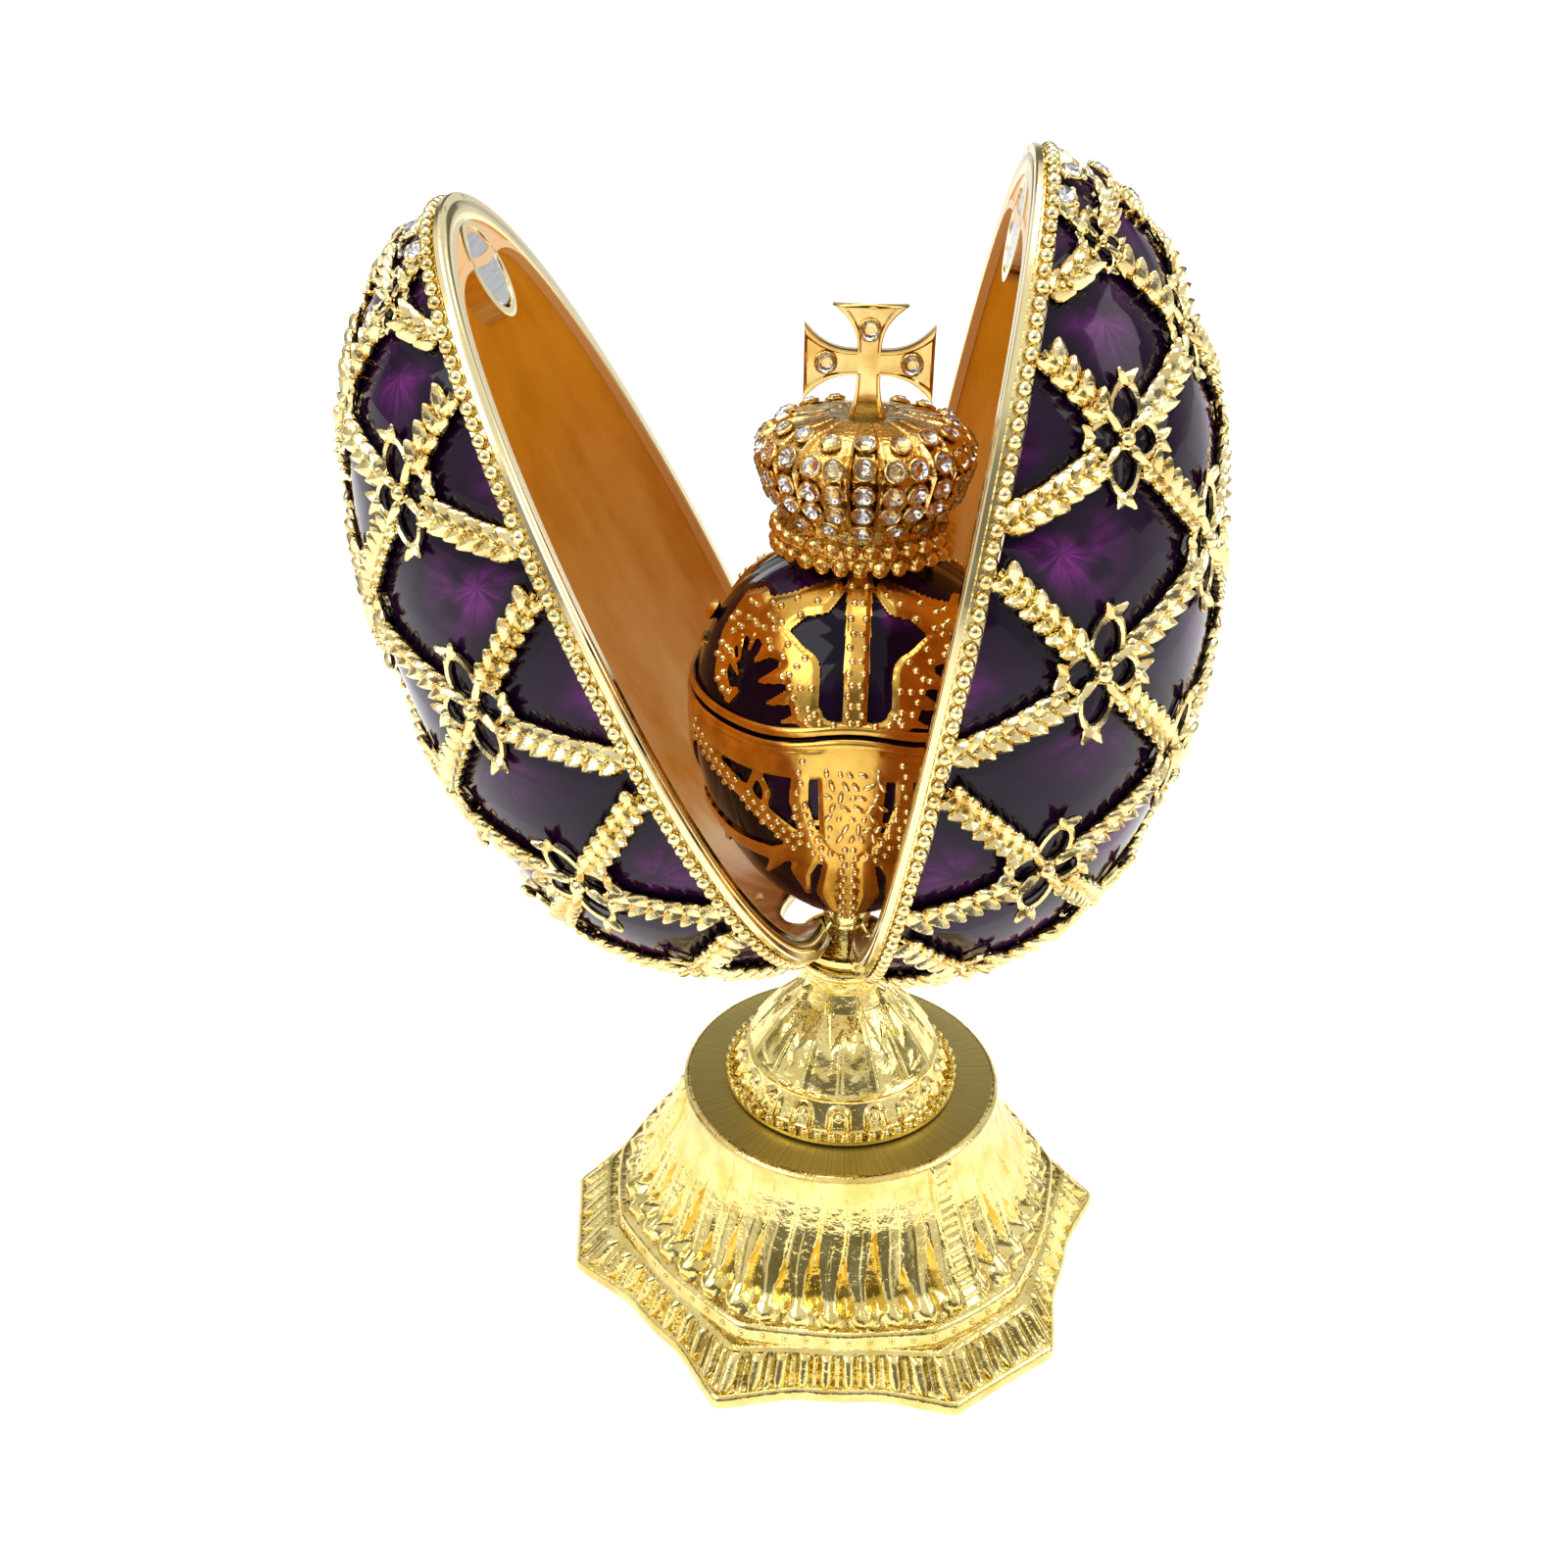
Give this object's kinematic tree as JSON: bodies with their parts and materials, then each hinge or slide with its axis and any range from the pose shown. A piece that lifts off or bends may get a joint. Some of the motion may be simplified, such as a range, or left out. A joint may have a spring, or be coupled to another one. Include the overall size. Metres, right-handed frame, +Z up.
{
  "type": "egg trinket box",
  "caption": "Upright jewelled egg box on a leaf-carved foot: its halves swing apart on hinges and hold a small footed egg with a lift-off lid under a crown and cross.",
  "frame": {"origin": "centre of the foot's flat underside, on the surface that the box stands on", "axes": "+Z up the box; -Y towards the viewer, square to the hinge pins' common plane; +X towards the right half"},
  "size_m": [0.1126, 0.0835, 0.1682],
  "materials": {
    "stand_gold": "polished gold plate over a carved casting, with matte recesses",
    "shell_enamel": "glossy aubergine enamel in cells between champagne-gold leaf bands",
    "small_egg_enamel": "glossy purple enamel under pale gold scrollwork",
    "crown_gold": "pale polished gold plate set with stones",
    "crystal": "clear faceted crystal",
    "magnet_steel": "nickel plated disc",
    "pin_steel": "plain drawn pin"
  },
  "bodies": {
    "root": {"foot": "stand_gold", "dome_and_neck": "stand_gold", "hinge_bracket": "stand_gold", "small_egg_cup": "small_egg_enamel", "small_egg_lid": "small_egg_enamel", "crown_and_cross": "crown_gold", "cross_stone_1": "crystal", "cross_stone_2": "crystal", "cross_stone_3": "crystal", "crown_stone_1": "crystal", "crown_stone_2": "crystal", "crown_stone_3": "crystal", "crown_stone_4": "crystal", "crown_stone_5": "crystal", "crown_stone_6": "crystal", "crown_stone_7": "crystal", "crown_stone_8": "crystal", "left_hinge_pin": "pin_steel", "right_hinge_pin": "pin_steel"},
    "left_side": {"left_half": "shell_enamel", "left_magnet": "magnet_steel", "left_tip_stone_1": "crystal", "left_tip_stone_2": "crystal", "left_tip_stone_3": "crystal"},
    "right_side": {"right_half": "shell_enamel", "right_magnet": "magnet_steel", "right_tip_stone_1": "crystal", "right_tip_stone_2": "crystal", "right_tip_stone_3": "crystal"}
  },
  "joints": [
    {"name": "left_hinge", "type": "hinge", "parent": "root", "child": "left_side", "pos_m": [-0.0112, 0, 0.0545], "axis": [0, -1, 0], "range_deg": [-26, 4]},
    {"name": "right_hinge", "type": "hinge", "parent": "root", "child": "right_side", "pos_m": [0.0112, 0, 0.0545], "axis": [0, 1, 0], "range_deg": [-9, 21]}
  ]
}
